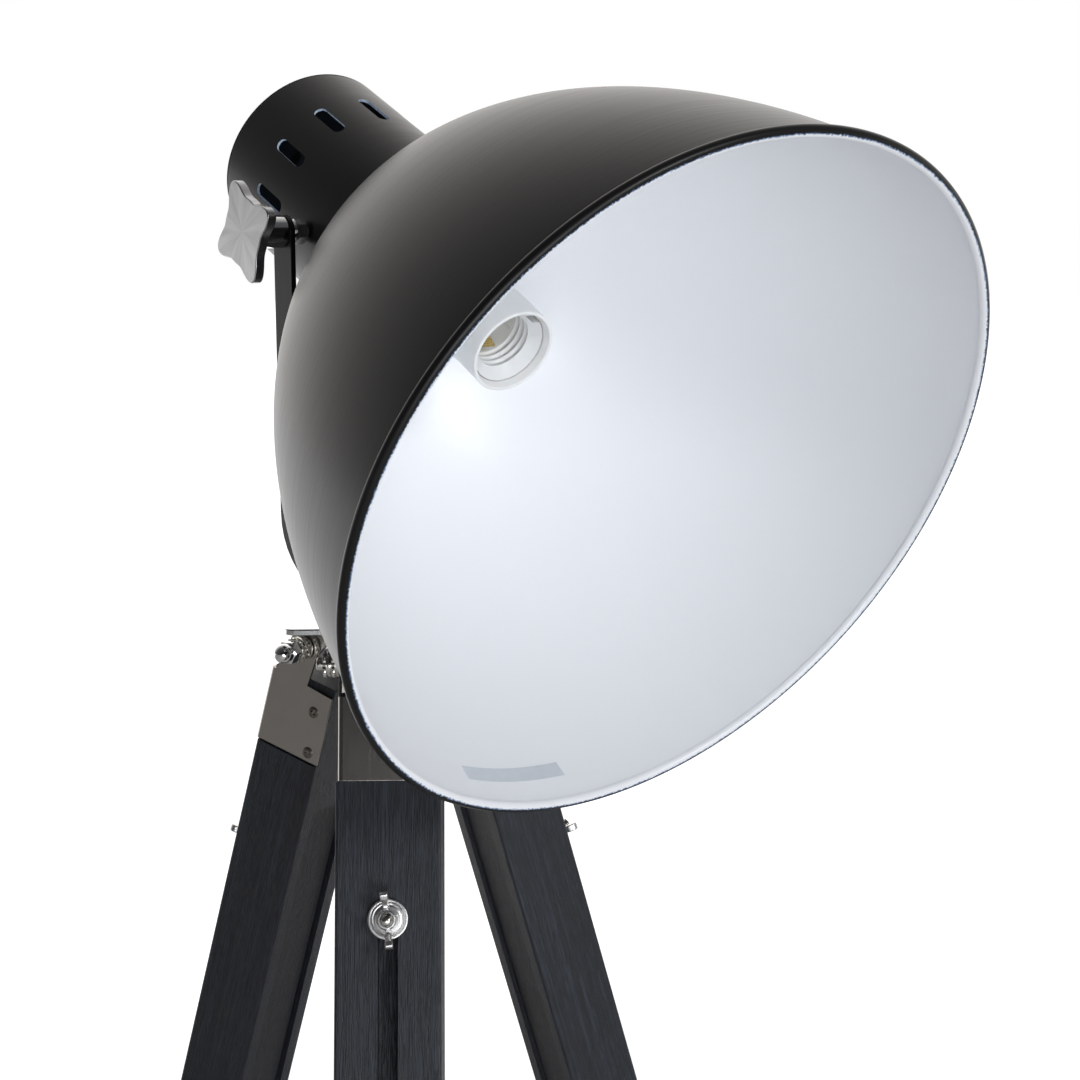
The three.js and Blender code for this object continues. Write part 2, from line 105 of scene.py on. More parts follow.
CLEVIS_HALF, CLEVIS_SHEET, CLEVIS_BACK, CLEVIS_FRONT = 20.7, 2.5, -18, -7
YOKE_HALF, YOKE_SHEET, YOKE_WIDTH, YOKE_BEND, YOKE_FOOT = 55, 2.5, 15, 50, 845.4
DOME_RADIUS, DOME_DEPTH, DOME_LEAD, RIM = 157, 260, 47, -234.3
SHELL = 1.2
HOUSING_RADIUS, HOUSING_FRONT, HOUSING_REAR, SLOTS = 45.4, -31.9, 74.5, 12
SKIRT_RADIUS, SKIRT_WALL, SKIRT_FRONT, SKIRT_BACK, COLLAR_FRONT = 20.1, 3, -108.8, -42.2, -40.7
# The lampholder droops a little from the shade axis.
HOLDER = (SHADE @ Matrix.Translation((0, COLLAR_FRONT, 0)) @ Matrix.Rotation(radians(3.1), 4, "X")
          @ Matrix.Translation((0, -COLLAR_FRONT, 0)))
M6, M8 = 3, 4       # radii of the threads
GAP = 0.3           # clearance between neighbours


# ---- Outlines
def arc(cx, cy, radius, start, end, steps):
    """Points on an arc, with its angles in degrees."""
    return [
        (cx + radius * cos(radians(start + (end - start) * i / steps)),
         cy + radius * sin(radians(start + (end - start) * i / steps)))
        for i in range(steps + 1)
    ]


def fillet(points, radius, steps=4, loop=True):
    """Rounds the corners of a polyline. A point may give its own radius as a third number."""
    rounded = []
    count = len(points)
    for i, point in enumerate(points):
        corner = Vector(point[:2])
        reach = point[2] if len(point) > 2 else radius
        if reach <= 0 or (not loop and i in (0, count - 1)):
            rounded.append(tuple(corner))
            continue
        before = Vector(points[i - 1][:2]) - corner
        after = Vector(points[(i + 1) % count][:2]) - corner
        half = before.angle(after) / 2
        if half > radians(88):
            rounded.append(tuple(corner))
            continue
        run = min(reach / max(sin(half) / cos(half), 1e-6), before.length * 0.48, after.length * 0.48)
        start = corner + before.normalized() * run
        end = corner + after.normalized() * run
        for step in range(steps + 1):
            t = step / steps
            rounded.append(tuple(start * (1 - t) ** 2 + corner * 2 * t * (1 - t) + end * t ** 2))
    return rounded


def rectangle(x0, x1, y0, y1, radius=0, steps=4):
    return fillet([(x1, y1), (x0, y1), (x0, y0), (x1, y0)], radius, steps)


def circle(radius, steps=32, cx=0, cy=0):
    return arc(cx, cy, radius, 0, 360 * (steps - 1) / steps, steps - 1)


def hexagon(flats):
    return [(flats / sqrt(3) * cos(i * pi / 3), flats / sqrt(3) * sin(i * pi / 3)) for i in range(6)]


def area_of(loop):
    return sum(a[0] * b[1] - b[0] * a[1] for a, b in zip(loop, loop[1:] + loop[:1])) / 2


def inset(loop, distance):
    """Moves each point of a loop to its left, which is into the material."""
    moved = []
    for i, point in enumerate(loop):
        here = Vector(point)
        back = (here - Vector(loop[i - 1])).normalized()
        ahead = (Vector(loop[(i + 1) % len(loop)]) - here).normalized()
        normal = Vector((-back.y - ahead.y, back.x + ahead.x))
        length = normal.length
        moved.append(tuple(here + normal * (2 * distance / max(length * length, 0.4))))
    return moved


# ---- Solids, as meshes in the sub-part's own frame
def turn_to(axis):
    """The matrix that turns a solid drawn along Z so that it lies along another axis."""
    return {
        "Z": Matrix.Identity(4),
        "X": Matrix(((0, 0, 1, 0), (1, 0, 0, 0), (0, 1, 0, 0), (0, 0, 0, 1))),
        "Y": Matrix(((1, 0, 0, 0), (0, 0, 1, 0), (0, -1, 0, 0), (0, 0, 0, 1))),
    }[axis]


def mesh_from(bm, matrix=None):
    if matrix is not None:
        bm.transform(matrix)
    bmesh.ops.recalc_face_normals(bm, faces=bm.faces)
    mesh = bpy.data.meshes.new("piece")
    bm.to_mesh(mesh)
    bm.free()
    return mesh


def turned(profile, axis="Y", segments=64, shape=None):
    """A solid of revolution. The profile's (radius, height) points end on the axis or close on themselves.
    shape(angle, radius, height) may change the radius."""
    bm = bmesh.new()
    rings = []
    for radius, height in profile:
        if radius < 1e-6:
            rings.append([bm.verts.new((0, 0, height))])
            continue
        ring = []
        for i in range(segments):
            angle = 2 * pi * i / segments
            reach = shape(angle, radius, height) if shape else radius
            ring.append(bm.verts.new((reach * cos(angle), reach * sin(angle), height)))
        rings.append(ring)
    pairs = list(zip(rings, rings[1:]))
    if len(rings[0]) > 1 and len(rings[-1]) > 1:
        pairs.append((rings[-1], rings[0]))
    for lower, upper in pairs:
        for i in range(segments):
            j = (i + 1) % segments
            below = [lower[i % len(lower)], lower[j % len(lower)]]
            above = [upper[j % len(upper)], upper[i % len(upper)]]
            unique = list(dict.fromkeys(below + above))
            if len(unique) > 2:
                bm.faces.new(unique)
    return mesh_from(bm, turn_to(axis))


def plate(outline, low, high, axis="Z", holes=(), edge=0.3, steps=3):
    """A flat shape with rounded edges, between two heights on an axis, with through holes."""
    loops = [outline if area_of(outline) > 0 else outline[::-1]]
    loops += [hole if area_of(hole) < 0 else hole[::-1] for hole in holes]
    layers = [(edge * (1 - sin(a * pi / 2 / steps)), low + edge * (1 - cos(a * pi / 2 / steps)))
              for a in range(steps + 1)]
    layers += [(depth, high + low - height) for depth, height in layers[::-1]]
    bm = bmesh.new()
    ends = {0: [], len(layers) - 1: []}
    for loop in loops:
        rings = []
        for index, (depth, height) in enumerate(layers):
            points = inset(loop, depth) if depth > 1e-6 else loop
            rings.append([bm.verts.new((x, y, height)) for x, y in points])
            if index in ends:
                ends[index].append(rings[-1])
        for lower, upper in zip(rings, rings[1:]):
            for i in range(len(loop)):
                j = (i + 1) % len(loop)
                bm.faces.new((lower[i], lower[j], upper[j], upper[i]))
    for rings in ends.values():
        verts = [vert for ring in rings for vert in ring]
        if len(rings) == 1:
            bm.faces.new(verts)
            continue
        for triangle in tessellate_polygon([[vert.co for vert in ring] for ring in rings]):
            bm.faces.new([verts[k] for k in triangle])
    return mesh_from(bm, turn_to(axis))


def moved(mesh, matrix):
    mesh.transform(matrix)
    return mesh


def together(*meshes):
    """Several closed meshes in one."""
    bm = bmesh.new()
    for mesh in meshes:
        bm.from_mesh(mesh)
        bpy.data.meshes.remove(mesh)
    result = bpy.data.meshes.new("piece")
    bm.to_mesh(result)
    bm.free()
    return result


def applied(obj):
    """The mesh of an object with its modifiers, in place of the object."""
    depsgraph = bpy.context.evaluated_depsgraph_get()
    mesh = bpy.data.meshes.new_from_object(obj.evaluated_get(depsgraph), preserve_all_data_layers=True,
                                           depsgraph=depsgraph)
    bpy.data.objects.remove(obj)
    return mesh


def scratch(mesh):
    obj = bpy.data.objects.new("scratch", mesh)
    bpy.context.scene.collection.objects.link(obj)
    return obj


def carve(base, tools, operation="DIFFERENCE"):
    """Cuts tools out of a mesh, or joins or intersects them with it."""
    obj = scratch(base)
    helpers = [scratch(tool) for tool in tools]
    for helper in helpers:
        modifier = obj.modifiers.new("carve", "BOOLEAN")
        modifier.operation = operation
        modifier.solver = "EXACT"
        modifier.object = helper
    mesh = applied(obj)
    for helper in helpers:
        bpy.data.objects.remove(helper)
    return mesh


def rounded(mesh, width, segments=2, angle=35):
    """Rounds the sharp edges of a carved mesh."""
    obj = scratch(mesh)
    modifier = obj.modifiers.new("round", "BEVEL")
    modifier.width = width
    modifier.segments = segments
    modifier.limit_method = "ANGLE"
    modifier.angle_limit = radians(angle)
    modifier.use_clamp_overlap = True
    modifier.miter_outer = "MITER_ARC"
    return applied(obj)


def piece(name, mesh, matrix, body, materials, replaces=(), sharp=32):
    """Puts a mesh in the shared frame as a piece that rides on a body. Its own coordinates are kept with
    it, for its material."""
    count = len(mesh.vertices)
    local = [0.0] * (3 * count)
    mesh.vertices.foreach_get("co", local)
    own = mesh.attributes.new("own", "FLOAT_VECTOR", "POINT")
    own.data.foreach_set("vector", [value * MM for value in local])
    mesh.transform(matrix)
    mesh.shade_smooth()
    mesh.set_sharp_from_angle(angle=radians(sharp))
    for material in materials if isinstance(materials, (list, tuple)) else [materials]:
        mesh.materials.append(material)
    mesh.name = name
    obj = bpy.data.objects.new(name, mesh)
    bpy.context.scene.collection.objects.link(obj)
    normals = obj.modifiers.new("normals", "WEIGHTED_NORMAL")
    normals.keep_sharp = True
    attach(obj, body)
    if replaces:
        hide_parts(*replaces)
    return obj


# ---- Materials
class Nodes:
    """A small wrapper that makes and links the nodes of one node tree."""

    def __init__(self, owner):
        owner.use_nodes = True
        self.owner = owner
        self.tree = owner.node_tree

    def node(self, kind, **inputs):
        made = self.tree.nodes.new(kind)
        for key, value in inputs.items():
            self.feed(made, key, value)
        return made

    def feed(self, node, key, value):
        """Links or sets an input. A key such as i0 is the input's number. A colour has three numbers."""
        socket = node.inputs[int(key[1:]) if key[0] == "i" and key[1:].isdigit() else key.replace("_", " ")]
        if isinstance(value, bpy.types.NodeSocket):
            self.tree.links.new(value, socket)
        else:
            socket.default_value = (*value, 1) if socket.type == "RGBA" else value

    def math(self, operation, a, b=0.0):
        made = self.node("ShaderNodeMath", i0=a, i1=b)
        made.operation = operation
        return made.outputs[0]

    def plus(self, a, b):
        return self.math("ADD", a, b)

    def minus(self, a, b):
        return self.math("SUBTRACT", a, b)

    def times(self, a, b):
        return self.math("MULTIPLY", a, b)

    def hypot(self, a, b):
        return self.math("SQRT", self.plus(self.times(a, a), self.times(b, b)))

    def parts(self, vector):
        return self.node("ShaderNodeSeparateXYZ", Vector=vector).outputs

    def vector(self, x, y, z=0.0):
        return self.node("ShaderNodeCombineXYZ", X=x, Y=y, Z=z).outputs[0]

    def coordinates(self, kind):
        return self.node("ShaderNodeTexCoord").outputs[kind]

    def camera_ray(self):
        return self.node("ShaderNodeLightPath").outputs["Is Camera Ray"]

    def attribute(self, name, output="Fac"):
        made = self.node("ShaderNodeAttribute")
        made.attribute_name = name
        return made.outputs[output]

    def own(self):
        """The piece's own coordinates in metres."""
        return self.attribute("own", "Vector")

    def scaled(self, vector, scale):
        return self.node("ShaderNodeMapping", Vector=vector, Scale=scale).outputs[0]

    def noise(self, vector, scale, detail=3.0, roughness=0.55):
        made = self.node("ShaderNodeTexNoise", Vector=vector, Scale=scale, Detail=detail, Roughness=roughness)
        return made.outputs["Fac"]

    def ramp(self, value, *stops):
        """A smooth ramp from (position, colour or number) stops."""
        made = self.node("ShaderNodeValToRGB", Fac=value)
        elements = made.color_ramp.elements
        while len(elements) < len(stops):
            elements.new(0.5)
        for element, (position, colour) in zip(elements, stops):
            element.position = position
            rgb = (colour,) * 3 if isinstance(colour, (int, float)) else colour
            element.color = (*rgb, 1)
        return made.outputs["Color"]

    def mix(self, factor, a, b):
        made = self.node("ShaderNodeMix")
        made.data_type = "RGBA"
        for key, value in (("i0", factor), ("i6", a), ("i7", b)):
            self.feed(made, key, value)
        return made.outputs[2]

    def between(self, value, low, high, start=0.0, end=1.0):
        """Maps start..end to low..high."""
        return self.node("ShaderNodeMapRange", Value=value, From_Min=start, From_Max=end,
                         To_Min=low, To_Max=high).outputs[0]


class Material(Nodes):
    """The nodes of one new material."""

    def __init__(self, name):
        super().__init__(bpy.data.materials.new(name))
        self.shader = self.tree.nodes["Principled BSDF"]

    def bump(self, height, distance, strength=1.0):
        made = self.node("ShaderNodeBump", Height=height, Distance=distance, Strength=strength)
        self.feed(self.shader, "Normal", made.outputs[0])

    def set(self, **values):
        for key, value in values.items():
            self.feed(self.shader, key, value)
        return self.owner

    def ringed(self, vector, radial, along, around=0.0):
        """Coordinates that are the same all round the Y axis, so that noise in them makes turned rings."""
        x, y, z = self.parts(vector)
        turned_by = self.times(self.math("ARCTAN2", z, x), around)
        return self.vector(self.times(self.hypot(x, z), radial), self.times(y, along), turned_by)


def dimmed(colour, share):
    return tuple(channel * share for channel in colour)


BLACK = (0.0060, 0.0059, 0.0062)
WHITE = (0.83, 0.845, 0.87)


def paint_material():
    """Satin black outside and white inside. The attribute paint is the distance in millimetres past the
    edge of the white, and a bluish line of thin paint runs along that edge."""
    n = Material("shade_paint")
    own = n.own()
    rings = n.noise(n.ringed(own, 900, 900, 0.35), 1.0, 4)
    broad = n.noise(n.ringed(own, 60, 60, 0.8), 1.0, 2)
    specks = n.noise(own, 1400, 2)
    ragged = n.times(n.minus(n.noise(own, 1100, 4, 0.7), 0.5), 2.6)
    edge = n.plus(n.attribute("paint"), ragged)
    across = n.between(edge, 0.0, 1.0, -1.0, 1.0)
    inside = n.ramp(across, (0.42, 0.0), (0.58, 1.0))
    tint = n.ramp(across, (0.30, BLACK), (0.5, (0.16, 0.24, 0.40)), (0.72, WHITE))
    black = n.mix(n.times(broad, 0.5), BLACK, (0.0095, 0.0092, 0.0092))
    white = n.mix(specks, WHITE, (0.81, 0.83, 0.862))
    past_black = n.ramp(across, (0.25, 0.0), (0.35, 1.0))
    past_tint = n.ramp(across, (0.65, 0.0), (0.8, 1.0))
    colour = n.mix(past_black, black, n.mix(past_tint, tint, white))
    roughness = n.mix(inside, n.between(rings, 0.26, 0.40), n.between(broad, 0.30, 0.38))
    lines = n.times(n.minus(1.0, inside), rings)
    n.bump(n.plus(lines, n.times(specks, 0.25)), 0.00004, 0.6)
    return n.set(Base_Color=colour, Roughness=roughness, Specular_IOR_Level=n.between(inside, 0.24, 0.5))


def black_paint_material(name, axis_rings=True):
    n = Material(name)
    own = n.own()
    coordinates = n.ringed(own, 900, 900, 0.35) if axis_rings else n.scaled(own, (700, 700, 60))
    lines = n.noise(coordinates, 1.0, 4)
    grit = n.noise(own, 1600, 2)
    broad = n.noise(own, 45, 3)
    n.bump(n.plus(lines, n.times(grit, 0.4)), 0.00004, 0.55)
    return n.set(Base_Color=n.mix(broad, BLACK, (0.0090, 0.0088, 0.0088)),
                 Roughness=n.between(lines, 0.30, 0.44), Specular_IOR_Level=0.27)


def white_inside_material():
    """The white paint of the housing's inside and of the cut edges of its vents, drawn with painted shade and
    a painted glow.
    """
    n = Material("vent_white")
    patches = n.noise(n.own(), 700, 3)
    n.bump(patches, 0.00005, 0.5)
    # Painted shade: the white paint is coloured a bluish grey with lighter bluish patches, as it looks in the
    # shadowed inside of the housing.
    colour = n.ramp(patches, (0.3, (0.34, 0.45, 0.60)), (0.6, (0.72, 0.80, 0.90)))
    # Painted light: a faint bluish glow stands in for the light that bounces in through the vents.
    return n.set(Base_Color=colour, Roughness=0.45, Emission_Color=(0.5, 0.7, 1.0), Emission_Strength=0.05)


def metal_material(name, base, roughness, lines=None, depth=0.00002):
    """Plated metal. lines scales the noise that brushes it, long along the brushing."""
    n = Material(name)
    own = n.own()
    wear = n.noise(own, 90, 4)
    brushed = n.noise(n.scaled(own, lines), 1.0, 4) if lines else n.noise(own, 900, 3)
    low, high = roughness
    darker = dimmed(base, 0.86)
    n.bump(brushed, depth, 0.3 if lines else 0.05)
    return n.set(Base_Color=n.mix(wear, base, darker), Metallic=1.0, Roughness=n.between(brushed, low, high))


def knob_material():
    """A face brushed with a turning pad: fine rings round the bolt, and a painted conic sheen: its colour
    turns lighter and darker round the bolt.
    """
    n = Material("knob_nickel")
    own = n.own()
    _, y, z = n.parts(own)
    angle = n.math("ARCTAN2", z, y)
    radius = n.hypot(y, z)
    conic = n.noise(n.vector(n.times(angle, 1.6), n.times(radius, 14)), 1.6, 3)
    rings = n.noise(n.vector(n.times(radius, 1400), n.times(angle, 1.2)), 1.0, 2)
    n.bump(rings, 0.000004, 0.5)
    # Painted highlight: the grey runs darker and lighter in sectors round the bolt, a brushed sheen painted
    # into the colour.
    colour = n.ramp(conic, (0.35, (0.42, 0.42, 0.425)), (0.65, (0.56, 0.56, 0.57)))
    return n.set(Base_Color=colour, Metallic=1.0, Roughness=n.between(conic, 0.26, 0.36))


def wood_material(name, tone, sheen, pore, rough=(0.42, 0.62)):
    """Black-stained open-grain wood, with its grain along Z. The lightest grain takes a bluish painted sheen.
    """
    n = Material(name)
    own = n.own()
    wander = n.noise(n.scaled(own, (30, 30, 5)), 1.0, 3)
    sway = n.vector(n.times(wander, 0.002), n.times(wander, 0.003))
    bent = n.node("ShaderNodeVectorMath", i0=own, i1=sway).outputs[0]
    fine = n.noise(n.scaled(bent, (1500, 1500, 26)), 1.0, 5, 0.65)
    bands = n.noise(n.scaled(bent, (330, 330, 7)), 1.0, 4, 0.6)
    pores = n.ramp(n.noise(n.scaled(bent, (2600, 2600, 90)), 1.0, 2, 0.4), (0.36, 0.0), (0.52, 1.0))
    grain = n.plus(n.times(fine, 0.55), n.times(bands, 0.45))
    # Real grain in the stain's tone, whose lightest stop is a bluish painted sheen.
    colour = n.ramp(grain, (0.34, dimmed(tone, 0.55)), (0.5, tone), (0.68, sheen))
    n.bump(n.plus(grain, n.times(pores, pore)), 0.00035, 0.65)
    return n.set(Base_Color=n.mix(pores, dimmed(tone, 0.5), colour), Roughness=n.between(grain, *rough),
                 Specular_IOR_Level=0.5)


def plastic_material():
    n = Material("white_plastic")
    own = n.own()
    mottling = n.noise(own, 120, 3)
    skin = n.noise(own, 2400, 2)
    n.bump(skin, 0.00002, 0.35)
    return n.set(Base_Color=n.mix(mottling, (0.74, 0.742, 0.745), (0.79, 0.792, 0.795)),
                 Roughness=n.between(mottling, 0.30, 0.38), Subsurface_Weight=0.06)


def rubber_material():
    n = Material("black_rubber")
    own = n.own()
    dust = n.noise(own, 160, 5)
    skin = n.noise(own, 1800, 3)
    n.bump(skin, 0.00008, 0.5)
    colour = n.ramp(dust, (0.35, (0.014, 0.014, 0.014)), (0.75, (0.032, 0.031, 0.030)))
    return n.set(Base_Color=colour, Roughness=n.between(dust, 0.72, 0.9))


def label_material():
    n = Material("blank_label")
    foil = n.noise(n.own(), 260, 3)
    return n.set(Base_Color=n.mix(foil, (0.56, 0.60, 0.64), (0.66, 0.70, 0.74)), Roughness=0.3, Metallic=0.25)


def inner_steel_material():
    n = Material("inner_steel")
    coordinates = n.coordinates("Object")
    cloud = n.noise(coordinates, 220, 4)
    n.bump(n.noise(coordinates, 1500, 2), 0.00002, 0.4)
    return n.set(Base_Color=n.mix(cloud, (0.50, 0.50, 0.50), (0.62, 0.62, 0.60)), Metallic=1.0,
                 Roughness=n.between(cloud, 0.28, 0.42))


PAINT = paint_material()
BLACK_TURNED = black_paint_material("black_turned")
BLACK_STRAP = black_paint_material("black_strap", axis_rings=False)
VENT_WHITE_PAINTED_SHADE_GLOW = white_inside_material()
BRACKET = metal_material("bracket_nickel", (0.47, 0.44, 0.41), (0.20, 0.30), (2200, 2200, 60), 0.000006)
BRUSHED = metal_material("brushed_nickel", (0.60, 0.575, 0.545), (0.24, 0.36), (160, 2200, 2200))
POLISHED = metal_material("polished_nickel", (0.70, 0.705, 0.72), (0.09, 0.18))
SATIN = metal_material("satin_nickel", (0.78, 0.775, 0.77), (0.26, 0.40))
TURNED = metal_material("turned_nickel", (0.66, 0.64, 0.60), (0.14, 0.26))
CHROME = metal_material("bright_chrome", (0.80, 0.80, 0.80), (0.05, 0.10))
SCREW = metal_material("screw_steel", (0.20, 0.175, 0.145), (0.24, 0.40))
BRASS = metal_material("contact_brass", (0.80, 0.60, 0.24), (0.20, 0.34), (300, 1500, 1500))
KNOB = knob_material()
WOOD = wood_material("stained_wood", (0.0085, 0.0115, 0.018), (0.034, 0.044, 0.066), 0.5)
ROUGH_WOOD = wood_material("rough_sawn_wood", (0.010, 0.012, 0.017), (0.034, 0.038, 0.048), 1.3, (0.4, 0.7))
PLASTIC = plastic_material()
RUBBER = rubber_material()
LABEL = label_material()
INNER_STEEL = inner_steel_material()


# ---- Shared small parts
def hex_solid(flats, low, high, axis, bore=None, chamfer=0.7):
    """A hexagon whose corners are cut by a cone at both ends."""
    wide = flats / sqrt(3) + 0.1
    narrow = flats / sqrt(3) - chamfer * 1.4
    cone = turned([
        (0, low), (narrow, low), (wide, low + chamfer), (wide, high - chamfer), (narrow, high), (0, high),
    ], "Z", 48)
    holes = [circle(bore, 28)] if bore else []
    prism = plate(hexagon(flats), low - 0.01, high + 0.01, "Z", holes, edge=0.12, steps=1)
    return moved(carve(prism, [cone], "INTERSECT"), turn_to(axis))


def threaded(radius, low, high, axis, pitch=1.0, depth=0.5, segments=28, end=0.6):
    """A threaded rod: its radius follows a helix."""
    rows = max(8, int((high - low) / pitch * 5))
    profile = [(0, low)]
    profile += [(radius, low + (high - low) * i / rows) for i in range(rows + 1)]
    profile.append((0, high))

    def helix(angle, reach, height):
        phase = (height / pitch - angle / (2 * pi)) % 1
        taper = min(1.0, (high - height) / end, (height - low) / end)
        return reach - depth * abs(2 * phase - 1) - (1 - max(taper, 0)) * depth

    return turned(profile, axis, segments, helix)


def washer(bore, radius, low, high, axis, teeth=0, depth=0.0):
    """A plain washer, or one with teeth round its edge."""
    corner = min(0.25, (high - low) / 3)
    profile = fillet([(bore, low), (radius, low), (radius, high), (bore, high)], corner, 2)
    if not teeth:
        return turned(profile, axis, 48)

    def toothed(angle, reach, height):
        if reach <= radius * 0.8:
            return reach
        return reach - depth * (0.5 + 0.5 * cos(teeth * angle))

    return turned(profile, axis, teeth * 4, toothed)


def quarter(radius, base, rise, step):
    """The profile of a rounded end, a quarter of an ellipse that closes on the axis."""
    return [(radius * cos(radians(a)), base + rise * sin(radians(a))) for a in range(0, 91, step)]


def drill(radius, low, high, axis, segments):
    """A rod that cuts a round hole."""
    return turned([(0, low), (radius, low), (radius, high), (0, high)], axis, segments)


def upright(points):
    """An outline of (x, z) points, as a plate that is laid along Y takes it."""
    return [(x, -z) for x, z in points]


def furthest(node, matrix):
    """The vertex of a CAD node that is furthest from the X axis of a frame, in that frame."""
    inverse = matrix.inverted()
    points = [inverse @ vert.co for vert in frame["nodes"][node].data.vertices]
    return max(points, key=lambda point: hypot(point.y, point.z))


# ---- Tripod head
PIN_FACE = BRACKET_HALF + GAP       # the ribbed stacks of a hinge start here, on both sides of the bracket
RIBS, RIB_PITCH = 4, 2.0
STACK = RIBS * RIB_PITCH


def build_head():
    across_flats, bolt_head, nut_height, thread_end = 13, 5.3, 8, 12
    disc_radius, disc_thickness = 14, 1.8
    body, slot = "tripod_head", "nickel"
    reach = 2 * (PLATE_INRADIUS - PLATE_CORNER)
    outline = []
    for degrees in (90, 210, 330):
        cx, cy = reach * cos(radians(degrees)), reach * sin(radians(degrees))
        outline += arc(cx, cy, PLATE_CORNER, degrees - 60, degrees + 60, 18)
    underside = PLATE_TOP - PLATE_THICKNESS
    slab = plate(outline, underside, PLATE_TOP, holes=[circle(M8 + GAP)], edge=0.7, steps=4)
    piece("tripod_plate", slab, HEAD, body, POLISHED, ["head_plate"])
    top = PLATE_TOP + GAP
    disc = washer(M8 + GAP, disc_radius, top, top + disc_thickness, "Z")
    piece("pan_disc", disc, HEAD, body, TURNED, ["pan_washer"])
    seat = YOKE_FOOT + YOKE_SHEET + GAP
    nut_top = underside - GAP
    rod = threaded(M8, nut_top - thread_end, seat, "Z", 1.25)
    bolt = together(hex_solid(across_flats, seat, seat + bolt_head, "Z"), rod)
    piece("pan_hex_bolt", bolt, HEAD, body, TURNED, ["pan_bolt"])
    nut = hex_solid(across_flats, nut_top - nut_height, nut_top, "Z", M8 + 0.1)
    piece("pan_hex_nut", nut, HEAD, body, TURNED, ["pan_nut"])


def build_clevis(leg):
    """A bent flange under the plate with two cheeks, which the hinge pin goes through."""
    eye, overhang = 7, 5
    top = PLATE_TOP - PLATE_THICKNESS - GAP - HINGE_HEIGHT
    cheek = [(CLEVIS_BACK, top), (CLEVIS_BACK, top - CLEVIS_SHEET - 2)]
    cheek += arc(0, 0, eye, 215, 380, 24) + [(CLEVIS_FRONT + overhang, top)]
    hole = circle(M6 + GAP, 28)
    cheeks = []
    for side in (-1, 1):
        low, high = sorted((side * CLEVIS_HALF, side * (CLEVIS_HALF - CLEVIS_SHEET)))
        cheeks.append(plate(upright(cheek), low, high, "Y", [upright(hole)], edge=0.35))
    flange = rectangle(CLEVIS_BACK, CLEVIS_FRONT, -CLEVIS_HALF, CLEVIS_HALF, 0.4)
    web = plate(flange, top - CLEVIS_SHEET, top, edge=0.3)
    body = carve(web, cheeks, "UNION")
    piece(f"hinge_clevis_{leg}", body, HINGE[leg], "tripod_head", BRUSHED, [f"clevis_{leg}"])


def rib_stack(side):
    """The ribs between a bracket and the end of its pin, every second one with teeth, on a sleeve."""
    crest, sleeve, half_rib, inset_end = 6.2, 5.3, 0.72, 0.2
    ribs = []
    for index in range(RIBS):
        middle = side * (PIN_FACE + (index + 0.5) * RIB_PITCH)
        teeth = 20 if index % 2 else 0
        ribs.append(washer(M6, crest, middle - half_rib, middle + half_rib, "Y", teeth, 0.5))
    middle = side * (PIN_FACE + STACK / 2)
    half = STACK / 2
    ribs.append(washer(M6, sleeve, middle - half + inset_end, middle + half - inset_end, "Y"))
    return ribs


def build_hinge_pin(leg):
    body, slot = "tripod_head", "nickel"
    head_radius, head_length, thread_past = 3.2, 3, 8
    head = -PIN_FACE - STACK
    face = head - head_length
    stub = [(0, face), (head_radius, face, 0.9), (head_radius, head, 0.2), (0, head)]
    rod = threaded(M6, head - 0.1, PIN_FACE + STACK + thread_past, "Y")
    screw = together(turned(fillet(stub, 0.2, 5, loop=False), "Y", 40), rod, *rib_stack(-1))
    piece(f"hinge_screw_{leg}", screw, HINGE[leg], body, TURNED, [f"hinge_bolt_{leg}"])
    washers = together(*rib_stack(1))
    piece(f"hinge_washers_{leg}", washers, HINGE[leg], body, TURNED, [f"hinge_lock_nut_{leg}"])
    across_flats, hex_height = 10, 5.5
    radius, rise, neck = 4.75, 4.9, 1.6
    start = PIN_FACE + STACK + GAP
    end = start + hex_height
    crown = quarter(radius, end + neck, rise, 9)
    cap = turned([(0, end - 1), (radius, end - 1), (radius, end + 0.4)] + crown, "Y", 48)
    acorn = together(hex_solid(across_flats, start, end, "Y", chamfer=0.8), cap)
    piece(f"acorn_cap_{leg}", acorn, HINGE[leg], body, CHROME, [f"acorn_nut_{leg}"])


# ---- Legs
def build_bracket(leg):
    front = OUTER_FACE + GAP + BRACKET_SHEET
    half = BRACKET_HALF
    inner = half - BRACKET_SHEET
    back = -7
    bend, eye = 2.6, 8.5
    outside = [(INNER_FACE, -half, 0), (front, -half), (front, half), (INNER_FACE, half, 0)]
    inside = [(INNER_FACE, inner, 0), (front - BRACKET_SHEET, inner),
              (front - BRACKET_SHEET, -inner), (INNER_FACE, -inner, 0)]
    outline = fillet(outside, bend, 6) + fillet(inside, bend - BRACKET_SHEET, 6)
    wrap = plate(outline, BRACKET_BOTTOM, BRACKET_TOP, edge=0.22, steps=2)
    # The side plates' upper edge falls slightly towards the back.
    fall, run = 2.2, 15
    for vert in wrap.vertices:
        if vert.co.z > BRACKET_TOP - 1:
            vert.co.z -= fall * max(0, back - vert.co.x) / run
    ear = [(back, BRACKET_TOP - 3), (front - 3, BRACKET_TOP - 3), (front - 3, BRACKET_TOP)]
    ear += arc(0, 0, eye, -15, 195, 30) + [(back, BRACKET_TOP)]
    hole = upright(circle(M6 + GAP, 28))
    ears = [plate(upright(ear), low, high, "Y", [hole], edge=0.22, steps=2)
            for low, high in ((-half, -inner), (inner, half))]
    body = f"{leg}_upper_leg"
    wrap = carve(wrap, ears, "UNION")
    piece(f"bracket_{leg}", wrap, LEG[leg], body, BRACKET, [f"leg_bracket_{leg}"])
    screws = []
    for side in (-1, 1):
        for x, z in ((-13.6, -28.6), (-15.6, -49.3)):
            turn = Matrix.Rotation(-side * pi / 2, 4, "X") @ Matrix.Rotation(0.5 * x, 4, "Z")
            screws.append(moved(screw_head(), Matrix.Translation((x, side * half, z)) @ turn))
    piece(f"bracket_screws_{leg}", together(*screws), LEG[leg], body, SCREW)


